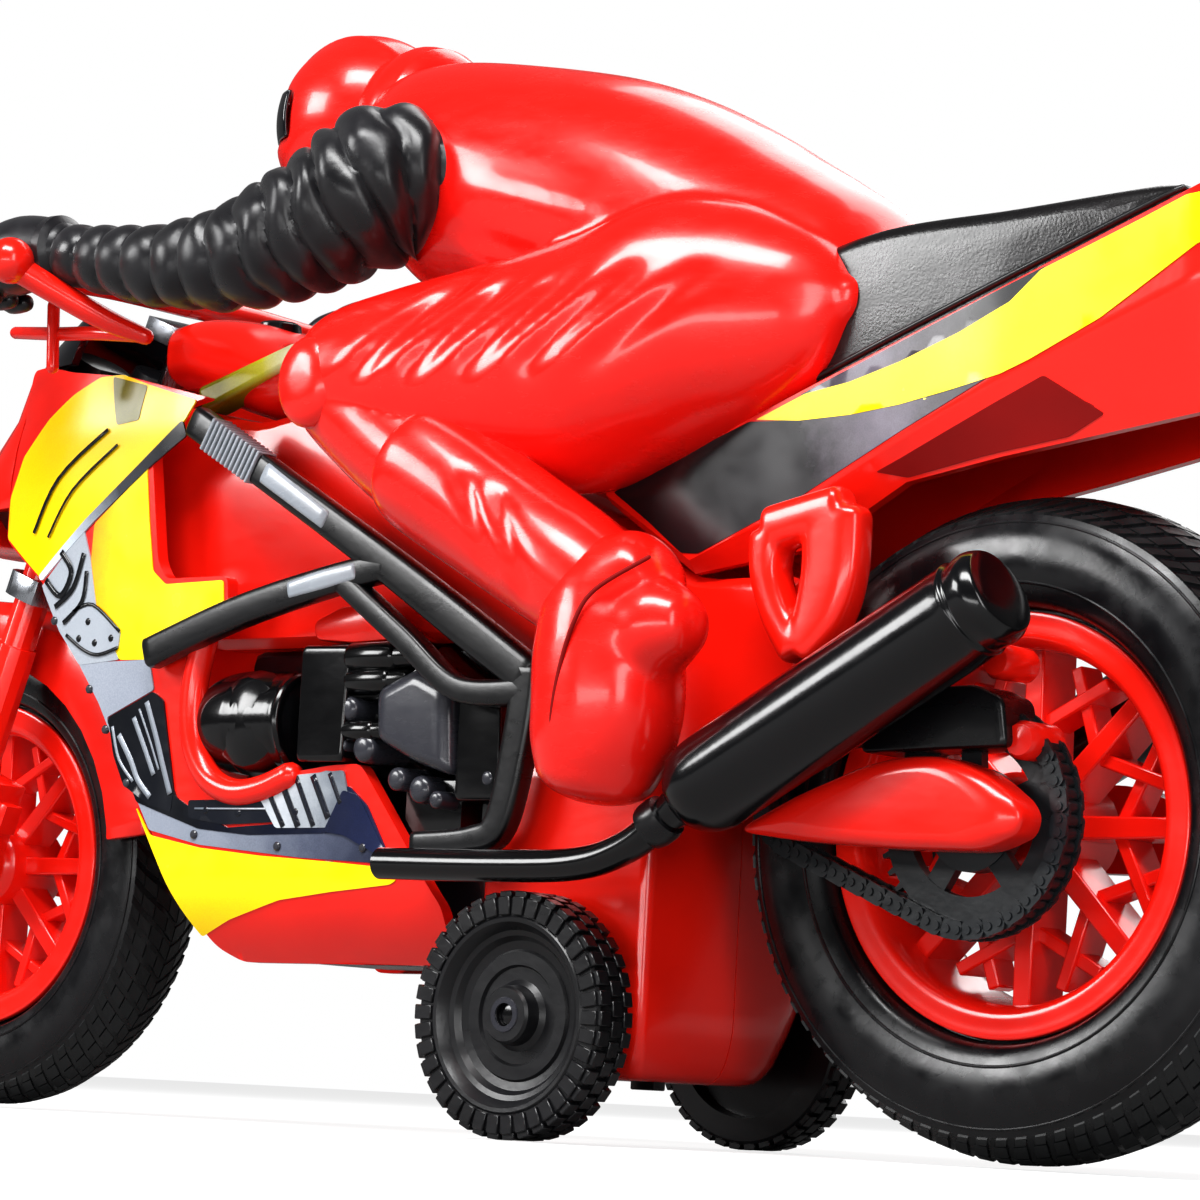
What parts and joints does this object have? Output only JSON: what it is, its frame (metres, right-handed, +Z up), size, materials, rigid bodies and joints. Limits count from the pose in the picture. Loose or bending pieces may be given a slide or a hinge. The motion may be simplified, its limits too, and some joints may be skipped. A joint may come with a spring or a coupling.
{
  "type": "radio-controlled motorcycle",
  "caption": "Radio-controlled toy sports motorcycle with a moulded rider, rolling wheels, steering fork and handlebar, and a pair of powered side wheels under the body.",
  "frame": {"origin": "centre of the length and width, on the floor under the tyres", "axes": "+X forward along the bike, +Y to the rider's left, +Z up"},
  "size_m": [0.271, 0.0906, 0.156],
  "materials": {
    "tyre_rubber": "satin",
    "red_gloss": "gloss",
    "red_suit": "gloss",
    "black_gloss": "gloss",
    "black_satin": "satin",
    "chain_black": "satin",
    "sleeve_rubber": "matte",
    "smoked_glass": "gloss",
    "lens_clear": "gloss",
    "lens_red": "gloss",
    "axle_steel": "satin",
    "pinion_brass": "satin",
    "gear_nylon": "satin",
    "board_green": "satin",
    "pack_blue": "satin"
  },
  "bodies": {
    "chassis": {"body_left": "red_gloss", "body_right": "red_gloss", "fairing_left": "red_gloss", "fairing_right": "red_gloss", "tail_left": "red_gloss", "tail_right": "red_gloss", "pod_left": "red_gloss", "pod_right": "red_gloss", "nose_cowl": "red_gloss", "tank": "red_gloss", "swingarm_left": "red_gloss", "swingarm_right": "red_gloss", "hanger_left": "red_gloss", "hanger_right": "red_gloss", "torso": "red_suit", "leg_left": "red_suit", "leg_right": "red_suit", "helmet": "red_suit", "silencer_left": "black_gloss", "silencer_right": "black_gloss", "exhaust_pipe_left": "black_gloss", "exhaust_pipe_right": "black_gloss", "engine_left": "black_gloss", "engine_right": "black_gloss", "seat": "black_gloss", "frame_left": "black_satin", "frame_right": "black_satin", "cockpit": "black_satin", "steering_head": "black_satin", "battery_door": "black_satin", "steering_servo": "black_satin", "chain": "chain_black", "sleeve_left": "sleeve_rubber", "sleeve_right": "sleeve_rubber", "visor": "smoked_glass", "windscreen": "smoked_glass", "headlight": "lens_clear", "tail_light": "lens_red", "rear_axle": "axle_steel", "motor": "axle_steel", "circuit_board": "board_green", "battery_pack": "pack_blue"},
    "steering": {"steering_stem": "axle_steel", "fork_left": "red_gloss", "fork_right": "red_gloss", "front_fender": "red_gloss", "handlebar": "red_suit", "glove_left": "sleeve_rubber", "glove_right": "sleeve_rubber", "front_axle": "axle_steel"},
    "front_wheel": {"front_tyre": "tyre_rubber", "front_rim": "red_gloss"},
    "rear_wheel": {"rear_tyre": "tyre_rubber", "rear_rim": "red_gloss"},
    "drive": {"drive_axle": "axle_steel", "side_wheel_left": "black_satin", "side_wheel_right": "black_satin"},
    "idler": {"idler_gear": "gear_nylon"},
    "pinion_shaft": {"pinion": "pinion_brass"},
    "switch": {"power_switch": "black_satin"}
  },
  "joints": [
    {"name": "steer", "type": "hinge", "parent": "chassis", "child": "steering", "pos_m": [0.0995, 0, 0.036], "axis": [-0.3584, 0, 0.9336], "range_deg": [-16, 16], "deforming": ["sleeve_left", "sleeve_right"]},
    {"name": "front_spin", "type": "hinge", "parent": "steering", "child": "front_wheel", "pos_m": [0.0995, 0, 0.036], "axis": [0, 1, 0], "continuous": true},
    {"name": "rear_spin", "type": "hinge", "parent": "chassis", "child": "rear_wheel", "pos_m": [-0.0875, 0, 0.042], "axis": [0, 1, 0], "continuous": true},
    {"name": "drive_spin", "type": "hinge", "parent": "chassis", "child": "drive", "pos_m": [-0.025, 0, 0.016], "axis": [0, 1, 0], "continuous": true},
    {"name": "idler_spin", "type": "hinge", "parent": "chassis", "child": "idler", "pos_m": [-0.02329, 0, 0.02361], "axis": [0, 1, 0], "continuous": true},
    {"name": "pinion_spin", "type": "hinge", "parent": "chassis", "child": "pinion_shaft", "pos_m": [-0.02474, 0, 0.03158], "axis": [0, 1, 0], "continuous": true},
    {"name": "switch_slide", "type": "slide", "parent": "chassis", "child": "switch", "axis": [1, 0, 0], "range_m": [0, 0.003]}
  ],
  "couplings": [
    {"joint": "idler_spin", "follows": "drive_spin", "ratio": -1.6},
    {"joint": "pinion_spin", "follows": "drive_spin", "ratio": 3.2}
  ]
}
